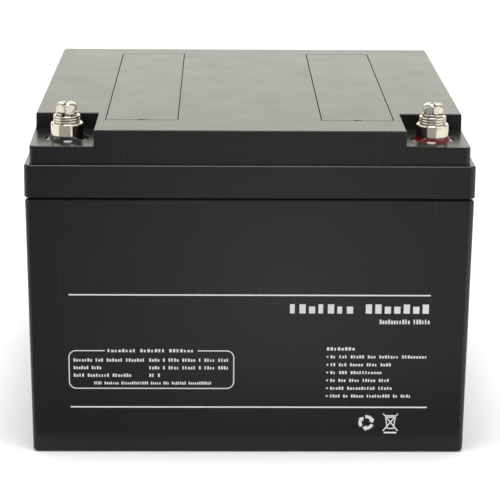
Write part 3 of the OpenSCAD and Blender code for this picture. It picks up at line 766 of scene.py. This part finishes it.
def repeated(tree, given, mesh, axis):
    """Copies of a node's mesh in a line along one axis: as many as Count says, Pitch apart."""
    row = add_node(tree, "GeometryNodeMeshLine")
    spread = add_node(tree, "ShaderNodeCombineXYZ")
    copies = add_node(tree, "GeometryNodeInstanceOnPoints")
    wire(
        tree,
        (given, "Pitch", spread, axis),
        (given, "Count", row, "Count"),
        (spread, "Vector", row, "Offset"),
        (row, "Mesh", copies, "Points"),
        (mesh, 0, copies, "Instance"),
    )
    return copies


def grow(name, tree, values):
    """Runs a Geometry Nodes tree with these input values and keeps the result as a plain mesh."""
    item = bpy.data.objects.new(name, bpy.data.meshes.new(name))
    bpy.context.scene.collection.objects.link(item)
    step = item.modifiers.new("grow", "NODES")
    step.node_group = tree
    for socket in tree.interface.items_tree:
        if socket.in_out == "INPUT" and socket.name in values:
            step[socket.identifier] = values[socket.name]
    return settle(item)


def outward(item):
    shape = bmesh.new()
    shape.from_mesh(item.data)
    bmesh.ops.remove_doubles(shape, verts=shape.verts, dist=1e-7)
    bmesh.ops.recalc_face_normals(shape, faces=shape.faces)
    shape.to_mesh(item.data)
    shape.free()
    return item


stub_tree, given, result = geometry_tree("vent_stub_row", [
    ("Outer Radius", FLOAT, 0.006), ("Wall", FLOAT, 0.0017), ("Height", FLOAT, 0.0035),
    ("Count", INT, 3), ("Pitch", FLOAT, 0.045),
])
ring_path = add_node(stub_tree, "GeometryNodeCurvePrimitiveCircle", Resolution=48)
section = add_node(stub_tree, "GeometryNodeCurvePrimitiveQuadrilateral")
tube = add_node(stub_tree, "GeometryNodeCurveToMesh")
wire(
    stub_tree,
    (given, "Outer Radius", ring_path, "Radius"),
    (given, "Wall", section, "Width"),
    (given, "Height", section, "Height"),
    (ring_path, "Curve", tube, "Curve"),
    (section, "Curve", tube, "Profile Curve"),
)
dressed(stub_tree, given, result, repeated(stub_tree, given, tube, "Y"))
stubs = []
stub_r, stub_wall, stub_high, stub_count = 6, 1.7, 3.1, 3
stub_pitch = (cover_high[1] - cover_low[1] - 2 * ledge) / stub_count
for side in (-1, 1):
    stub = outward(grow("stubs", stub_tree, {
        "Outer Radius": stub_r * MM, "Wall": stub_wall * MM, "Height": stub_high * MM,
        "Count": stub_count, "Pitch": stub_pitch * MM, "Finish": abs_black,
    }))
    x, y = cover_middle(side)
    stubs.append(move(stub, 0, (x, y - stub_pitch, trough_floor + stub_high / 2)))
print("stub size, mm:", [round(v / MM, 2) for v in stubs[0].dimensions])


# %% Round the lid's edges
def lid_radius(p):
    """The radius in mm of the lid's edge at this point, most on the rim and 0 for a sharp edge."""
    on_top = p.z > top_z - 0.3
    at_side, at_end = abs(p.x) > block_half[0] - 0.4, abs(p.y) > block_half[1] - 0.4
    in_pocket = abs(p.x) > pocket_x - 1 and p.y < pocket_y + 1
    from_terminal = math.hypot(abs(p.x) - terminal_x, p.y - terminal_y)
    on_rim = abs(p.x) > lid_high[0] - 1 or abs(p.y) > lid_high[1] - 1
    if on_rim and p.z < lid_low[2] + 0.05:
        return 0.35
    if on_rim and abs(p.z - rim_top) < 0.05:
        return 0.75
    if on_top and (at_side or at_end):
        return 0.6
    if on_top and in_pocket:
        return 0.5
    if in_pocket and abs(p.z - shelf_z) < 0.1:
        return 0.3 if from_terminal < dish_r + 0.6 else 0.45 if at_side or at_end else 0
    if in_pocket and shelf_z + 0.1 < p.z < top_z - 0.1 and (at_side or at_end):
        return 0.5
    if on_top:
        return 0.14
    return 0


round_edges(lid, lid_radius)
combine(lid, stubs, "UNION")
smooth(lid)
place(lid, "root", abs_black, "case_black", "case_lid")


# %% [markdown]
# ## Vent covers
# Each cover is a 2 mm plate with ribs below, lying flush in its trough with a 0.3 mm seam round it.
# A small notch in the front edge takes a fingernail or a blade to lift it.

# %% Build the vent covers
cover_corner = 0.9
notch_half = (1.5, 0.7)
rib_half, rib_inset, rib_reach = 0.6, 5.2, cover_half[1] - 5
for side, body in ((-1, "left_cover"), (1, "right_cover")):
    middle = cover_middle(side)
    cover = as_object(f"{body}_plate", loft([
        rounded_ring(cover_half[0] - inset, cover_half[1] - inset, cover_corner, z, 5, middle)
        for inset, z in ((0, plate_under), (0, top_z - 0.16), (0.05, top_z - 0.05), (0.16, top_z))
    ]))
    notch = loft([
        rounded_ring(*notch_half, 0.3, z, 4, (middle[0], cover_low[1])) for z in (top_z - 1, top_z + 1)
    ])
    combine(cover, [as_object("notch", notch)])
    ribs = [
        as_object("rib", loft([
            rounded_ring(rib_half, rib_reach, 0.3, z, 3, (middle[0] + offset, middle[1]))
            for z in (cover_low[2], plate_under + 0.3)
        ]))
        for offset in (-cover_half[0] + rib_inset, cover_half[0] - rib_inset)
    ]
    combine(cover, ribs, "UNION")
    smooth(cover)
    place(cover, body, cover_black, "cover_black", f"{'left' if side < 0 else 'right'}_vent_cover")


# %% [markdown]
# ## Terminal posts and cast resin
# A post is turned brass: a wide head above the shelf, a thinner stud through the lid, and an M5
# bore. It is all one turned profile, so rings of equal count follow it from the stud's foot up
# over the head and down the bore. The resin is poured round the post, so its surface creeps
# up the post and the dish wall, and it dries with a soft hollow between them.

# %% Build posts and resin
def turned(name, profile, centre, closed=False, steps=96):
    return as_object(name, loft([round_ring(r, z, centre, steps) for r, z in profile], closed))


post_r = (post_high[0] - post_low[0]) / 2
bore_r, bore_depth, stud_r = 2.55, 10.5, 4.0
post_edge, stud_chamfer, bore_chamfer = 0.55, 0.4, 0.25
post_profile = [
    (stud_r - stud_chamfer, post_low[2]), (stud_r, post_low[2] + stud_chamfer),
    (stud_r, dish_z), (post_r, dish_z),
    *arc((post_r - post_edge, post_high[2] - post_edge), post_edge, 0, 90, 5),
    (bore_r + bore_chamfer, post_high[2]), (bore_r, post_high[2] - bore_chamfer),
    (bore_r, post_high[2] - bore_depth),
]
level, climb, touch = shelf_z - 0.3, 1.8, 0.01
brim_r = dish_r - 0.45
resin_profile = [
    (post_r + touch, dish_z + touch), (dish_r - 0.03, dish_z + touch),
    (dish_r - 0.03, level - 0.45), (dish_r - 0.2, level - 0.12), (brim_r, level),
]
resin_profile += [
    (brim_r + (post_r + touch - brim_r) * t, level + climb * (0.45 * t + 0.55 * t**3))
    for t in (i / 12 for i in range(1, 13))
]
for side, pole in poles:
    centre = terminal_axis(side)
    post = smooth(turned(f"{pole}_post", post_profile, centre), weighted=False)
    place(post, "root", tin_plate, "tinned_brass", f"{pole}_terminal_post")
    pool = smooth(turned(f"{pole}_resin", resin_profile, centre, closed=True), weighted=False)
    resin, resin_slot = (black_resin, "resin_black") if side < 0 else (red_resin, "resin_red")
    place(pool, "root", resin, resin_slot, f"{pole}_seal_resin")


# %% [markdown]
# ## Washers
# Three stamped flat washers and one split spring washer sit under each bolt head. A washer is a
# small rounded rectangle swept round a circle, and the stack repeats it. The spring washer is the
# same section swept along one turn of a low spiral that stops short of closing, which leaves the
# split with its two ends at different heights.

# %% Washer trees
def swept(tree, given, path):
    """A bar along a node's curve, as wide, thick and rounded as Width, Thickness and Edge say."""
    box = add_node(tree, "GeometryNodeCurvePrimitiveQuadrilateral")
    soft = add_node(tree, "GeometryNodeFilletCurve", mode="POLY", Count=3)
    sweep = add_node(tree, "GeometryNodeCurveToMesh")
    sweep.inputs["Fill Caps"].default_value = True
    wire(
        tree,
        (given, "Width", box, "Width"),
        (given, "Thickness", box, "Height"),
        (box, "Curve", soft, "Curve"),
        (given, "Edge", soft, "Radius"),
        (path, 0, sweep, "Curve"),
        (soft, "Curve", sweep, "Profile Curve"),
    )
    return sweep


stack_tree, given, result = geometry_tree("washer_stack", [
    ("Middle Radius", FLOAT, 0.0039), ("Width", FLOAT, 0.00225), ("Thickness", FLOAT, 0.00108),
    ("Edge", FLOAT, 0.0003), ("Count", INT, 3), ("Pitch", FLOAT, 0.0011),
])
washer_path = add_node(stack_tree, "GeometryNodeCurvePrimitiveCircle", Resolution=96)
wire(stack_tree, (given, "Middle Radius", washer_path, "Radius"))
washer = swept(stack_tree, given, washer_path)
dressed(stack_tree, given, result, repeated(stack_tree, given, washer, "Z"))

spiral_tree, given, result = geometry_tree("swept_spiral", [
    ("Radius", FLOAT, 0.0033), ("Width", FLOAT, 0.0016), ("Thickness", FLOAT, 0.0011),
    ("Edge", FLOAT, 0.0002), ("Turns", FLOAT, 0.94), ("Rise", FLOAT, 0.0004),
    ("Steps Per Turn", INT, 96),
])
spiral = add_node(spiral_tree, "GeometryNodeCurveSpiral")
wire(
    spiral_tree,
    (given, "Radius", spiral, "Start Radius"),
    (given, "Radius", spiral, "End Radius"),
    (given, "Turns", spiral, "Rotations"),
    (given, "Rise", spiral, "Height"),
    (given, "Steps Per Turn", spiral, "Resolution"),
)
dressed(spiral_tree, given, result, swept(spiral_tree, given, spiral))
print("trees:", [tree.name for tree in (stub_tree, stack_tree, spiral_tree)])


# %% Build the washers
washer_r, spring_r = [
    (high[0] - low[0]) / 2 for low, high in ((washers_low, washers_high), (spring_low, spring_high))
]
washer_count = 3
washer_pitch = (washers_high[2] - washers_low[2]) / washer_count
washer_hole, spring_hole = 2.75, 2.6
washer_edge, spring_edge = 0.3, 0.22
washer_gap, spring_play = 0.03, 0.01
spring_rise, spring_gap = 0.35, 22
thick = spring_high[2] - spring_low[2] - spring_rise - 2 * spring_play


for side, pole in poles:
    stack = outward(grow(f"{pole}_washers_stack", stack_tree, {
        "Middle Radius": (washer_r + washer_hole) / 2 * MM, "Width": (washer_r - washer_hole) * MM,
        "Thickness": (washer_pitch - washer_gap) * MM, "Edge": washer_edge * MM,
        "Count": washer_count, "Pitch": washer_pitch * MM, "Finish": steel_plate,
    }))
    move(stack, 0, (*terminal_axis(side), washers_low[2] + washer_pitch / 2))
    smooth(stack, 50, weighted=False)
    place(stack, f"{pole}_washers", steel_plate, "plated_steel", f"{pole}_flat_washers")
    split = -90 + side * 36
    spring = outward(grow(f"{pole}_spring", spiral_tree, {
        "Radius": (spring_r + spring_hole) / 2 * MM, "Width": (spring_r - spring_hole) * MM,
        "Thickness": thick * MM, "Edge": spring_edge * MM, "Turns": 1 - spring_gap / 360,
        "Rise": spring_rise * MM, "Finish": spring_plate,
    }))
    spring_z = spring_low[2] + spring_play + thick / 2
    move(spring, split + spring_gap / 2, (*terminal_axis(side), spring_z))
    smooth(spring, 50, weighted=False)
    place(spring, f"{pole}_washers", spring_plate, "spring_steel", f"{pole}_spring_washer")
    print("stack, spring, mm:", [[round(v / MM, 2) for v in i.dimensions] for i in (stack, spring)])


# %% [markdown]
# ## Bolts
# A bolt head is a hexagon cut by a cone, which is what leaves an arc at the top of each flat. At
# any height the outline is the smaller of the hexagon and the cone, so one formula gives every
# ring. A slot and a cross recess are cut into the top, and the thread is a spiral of the same tree.

# %% Build the bolts
head_low, head_high = spring_high[2], bolt_high[2]
flats = 7.2
corner = flats / 2 / math.cos(math.radians(30))
head_turn = {"neg": -39, "pos": -30}
slot_long, cross_long, arm_wide = 8.6, 4.6, 0.9
slot_deep, cross_deep, clear = 0.75, 1.6, 0.3
shank_r, root_r = 2.45, 2.12
thread_section, thread_pitch, thread_start = 0.42, 0.8, bolt_low[2] + 0.5
thread_length = head_low - 1.2 - thread_start


def hexagon(angle, turn):
    around = (math.degrees(angle) - turn) % 60 - 30
    return flats / 2 / math.cos(math.radians(around))


def head_ring(z, cone, turn, centre, steps=180):
    ring = []
    for i in range(steps):
        angle = 2 * math.pi * i / steps
        r = min(hexagon(angle, turn) - 0.02, cone)
        ring.append(at(centre[0] + r * math.cos(angle), centre[1] + r * math.sin(angle), z))
    return ring


def wedge(centre, turn, length, width_low, width_high, z0, z1):
    """A tapered bar that cuts one arm of a recess."""
    shape = loft([
        rounded_ring(length / 2 - (0.35 if z == z0 else 0), w / 2, w / 2 - 0.02, z, 4)
        for z, w in ((z0, width_low), (z1, width_high))
    ])
    item = as_object("wedge", shape)
    return move(item, turn, (*centre, 0))


for side, pole in poles:
    centre = terminal_axis(side)
    turn = head_turn[pole]
    levels = [
        (head_low, corner - 0.35), (head_low + 0.18, corner),
        *((head_high - 1.5 + 1.35 * i / 8, corner - 0.98 * (i / 8) ** 1.3) for i in range(9)),
        (head_high - 0.04, corner - 1.12), (head_high, corner - 1.3),
    ]
    bolt = as_object(f"{pole}_bolt", loft([head_ring(z, c, turn, centre) for z, c in levels]))
    combine(bolt, [
        wedge(centre, turned_by, length, arm_wide, mouth, head_high - deep, head_high + clear)
        for turned_by, length, mouth, deep in (
            (90 + side * 3, slot_long, 1.15, slot_deep), (90 + side * 3, cross_long, 1.3, cross_deep),
            (side * 3, cross_long, 1.3, cross_deep),
        )
    ])
    shank = turned("shank", [
        (root_r - 0.42, bolt_low[2]), (root_r, bolt_low[2] + 0.45),
        (root_r, head_low - 1.0), (shank_r, head_low - 0.6), (shank_r, head_low + 0.5),
    ], centre, steps=48)
    combine(bolt, [shank], "UNION")
    thread = grow("thread", spiral_tree, {
        "Radius": (shank_r - 0.22) * MM, "Width": thread_section * MM,
        "Thickness": thread_section * MM, "Edge": thread_section / 3 * MM,
        "Turns": thread_length / thread_pitch, "Rise": thread_length * MM,
        "Steps Per Turn": 40, "Finish": steel_plate,
    })
    move(outward(thread), 0, (*centre, thread_start))
    joined = bmesh.new()
    joined.from_mesh(bolt.data)
    joined.from_mesh(thread.data)
    joined.to_mesh(bolt.data)
    joined.free()
    bpy.data.objects.remove(thread)
    smooth(bolt, 32)
    place(bolt, f"{pole}_bolt", steel_plate, "plated_steel", f"{pole}_terminal_bolt")


# %% [markdown]
# ## Front print
# The front carries white pad print: two ruled lines, a rounded frame with its heading set in a gap,
# rows of small text, a bold title, a warning list with bullets, and two disposal marks. The words
# are left as plain blocks in the same places and weights, and the marks are generic: a ring of
# three arrows and a bin in a box. The ink stands 0.03 mm off the drafted wall and leans with it.

# %% Ink helpers
ink_height, ink_sunk = 0.03, 0.01


def ink_prism(shape, points):
    """One flat ink shape from (x, z) points: a thin closed prism on the drafted front."""
    front, back = [
        [shape.verts.new(at(x, out - foot_half[1] - lean(z), z)) for x, z in points]
        for out in (-ink_height, ink_sunk)
    ]
    shape.faces.new(front)
    shape.faces.new(list(reversed(back)))
    for i in range(len(points)):
        j = (i + 1) % len(points)
        shape.faces.new((front[i], back[i], back[j], front[j]))


def ink_box(shape, x0, x1, z0, z1):
    ink_prism(shape, [(x0, z0), (x1, z0), (x1, z1), (x0, z1)])


def ink_stroke(shape, points, width):
    for a, b in zip(points, points[1:]):
        along = Vector(b) - Vector(a)
        side = Vector((-along.y, along.x)).normalized() * width / 2
        start, end = Vector(a), Vector(b)
        ink_prism(shape, [tuple(p) for p in (start - side, end - side, end + side, start + side)])


def block_text(shape, x0, x1, z, height, cell, words, seed):
    """A row of plain upright blocks from x0 to x1 on base line z, broken into words."""
    pick = random.Random(seed)
    step = (x1 - x0 + cell * 0.3) / (sum(words) + len(words) - 1)
    x = x0
    for word in words:
        for letter in range(word):
            wide = step * (0.5 if pick.random() < 0.3 else 0.66)
            tall = height * (1.0 if letter == 0 or pick.random() < 0.45 else 0.76)
            ink_box(shape, x, x + wide, z, z + tall)
            x += step
        x += step


# %% Print the front
ink = bmesh.new()
line_width, rule_width = 0.42, 0.54
for z in (62.8, 18.3):
    ink_box(ink, -67.3, 67.7, z - rule_width / 2, z + rule_width / 2)
frame_left, frame_right, frame_foot, frame_top, bend = -67.6, -5.7, 25.8, 40.8, 2.6
outline = [(-19.3, frame_top)]
for x, z, start in (
    (frame_right - bend, frame_top - bend, 90), (frame_right - bend, frame_foot + bend, 0),
    (frame_left + bend, frame_foot + bend, -90), (frame_left + bend, frame_top - bend, 180),
):
    outline += arc((x, z), bend, start, start - 90, 6)
outline += [(-54.1, frame_top)]
ink_stroke(ink, outline, line_width)
block_text(ink, -53.1, -20.6, 40.2, 1.25, 0.8, (8, 7, 7), 1)
for row, (left, words, right, more) in enumerate((
    (-39.2, (7, 3, 6, 7), -7.6, (4, 1, 4, 5, 1, 4, 4)),
    (-55.5, (6, 4), -7.6, (4, 1, 4, 5, 1, 4, 4)),
    (-44.2, (4, 8, 7), -33.4, (2, 1)),
)):
    base = 36.45 - 3.04 * row
    block_text(ink, -65.9, left, base, 1.3, 0.8, words, 10 + row)
    block_text(ink, -37.5, right, base, 1.3, 0.8, more, 20 + row)
block_text(ink, -58.3, -14.2, 27.35, 1.15, 0.7, (4, 7, 13, 5, 3, 7, 11), 30)
block_text(ink, 15.2, 67.6, 55.7, 3.6, 2.6, (7, 7), 3)
block_text(ink, 48.9, 67.6, 51.55, 1.8, 1.2, (11, 6), 5)
block_text(ink, 29.3, 40.0, 41.1, 1.25, 0.8, (8,), 40)
for row, (right, words) in enumerate((
    (67.1, (2, 3, 5, 3, 7, 9)), (53.6, (2, 3, 5, 4, 4)), (50.2, (2, 3, 11)),
    (53.0, (2, 3, 4, 5, 4)), (54.2, (5, 10, 5)), (61.4, (4, 2, 5, 9, 2, 4)),
)):
    base = 37.95 - 3.14 * row
    ink_prism(ink, arc((29.6, base + 0.6), 0.38, 0, 330, 11))
    block_text(ink, 30.8, right, base, 1.2, 0.8, words, 50 + row)
arrows, arrow_sweep = (44.8, 12.15), 72
for start in (100, 220, 340):
    neck = start - arrow_sweep
    ink_stroke(ink, arc(arrows, 2.35, start, neck, 8), 1.3)
    head = ((3.5, neck), (2.5, neck - 32), (1.2, neck))
    ink_prism(ink, [arc(arrows, r, angle, angle, 1)[0] for r, angle in head])
bin_body = [(52.2, 14.25), (52.8, 9.75), (55.2, 9.75), (55.8, 14.25), (52.2, 14.25)]
ink_stroke(ink, bin_body, line_width)
ink_stroke(ink, [(51.7, 14.85), (56.3, 14.85)], 0.5)
ink_stroke(ink, [(51.2, 15.75), (56.8, 8.75)], 0.45)
ink_stroke(ink, [(51.2, 8.75), (56.8, 15.75)], 0.45)
ink_box(ink, 51.6, 56.4, 7.75, 8.35)
bmesh.ops.recalc_face_normals(ink, faces=ink.faces)
printing = as_object("front_print", ink)
white_ink = finish(
    "white_pad_print", (0.78, 0.80, 0.80), (0.93, 0.95, 0.95), (0.35, 0.55), skin,
    {"Cloud Scale": 900.0, "Grain Scale": 5000.0}, 0.1, 0.01, Specular_IOR_Level=0.3,
)
place(printing, "root", white_ink, "case_black")


# %% [markdown]
# ## Finishes inside the case
# The cells, the plates between them, the foams and the control board never show while the case is
# shut, and they keep their engineering shapes. Each takes a finish by what it is made of: metals
# get the plating group, and everything else gets the skin group in its own colour. The cell
# sleeves are clear blue film over steel, the paper is fibrous and the foam is coarse.

# %% Dress the hidden pieces
inner_finish = {
    "brass": (plating, (0.18, 0.34), 0.2, 600.0),
    "brushed_steel": (plating, (0.2, 0.38), 0.25, 700.0),
    "aluminium": (plating, (0.3, 0.5), 0.3, 500.0),
    "gloss_plastic": (skin, (0.16, 0.3), 0.06, 120.0),
    "matte_plastic": (skin, (0.4, 0.6), 0.15, 200.0),
    "rubber": (skin, (0.45, 0.7), 0.2, 260.0),
    "fabric": (skin, (0.85, 1.0), 0.8, 900.0),
    "paper": (skin, (0.75, 0.95), 0.5, 700.0),
    "ceramic": (skin, (0.3, 0.5), 0.1, 400.0),
}
inner_materials = {}
for entry in frame["record"]["materials"]:
    group, rough, bump, scale = inner_finish[entry["class"]]
    scale_name, metallic = ("Patch Scale", 1.0) if group == plating else ("Cloud Scale", 0.0)
    base = entry["base_color"]
    inner_materials[entry["slot"]] = finish(
        f"inner_{entry['slot']}", [v * 0.7 for v in base], [min(v * 1.25, 0.95) for v in base],
        rough, group, {scale_name: scale}, bump, 0.03, Metallic=metallic,
    )
terminal_pieces = ("terminal_post", "seal_resin", "flat_washers", "spring_washer", "terminal_bolt")
shown = {"case_container", "case_lid", "left_vent_cover", "right_vent_cover"}
shown |= {f"{pole}_{piece}" for pole in ("neg", "pos") for piece in terminal_pieces}
dressed_count = 0
for entry in frame["record"]["subparts"]:
    if entry["node"] in shown:
        continue
    node = frame["nodes"][entry["node"]]
    material = inner_materials[entry["material_slot"]]
    if not node.material_slots:
        node.data.materials.append(material)
    for held in node.material_slots:
        held.material = material
    dressed_count += 1
print("hidden pieces dressed:", dressed_count)
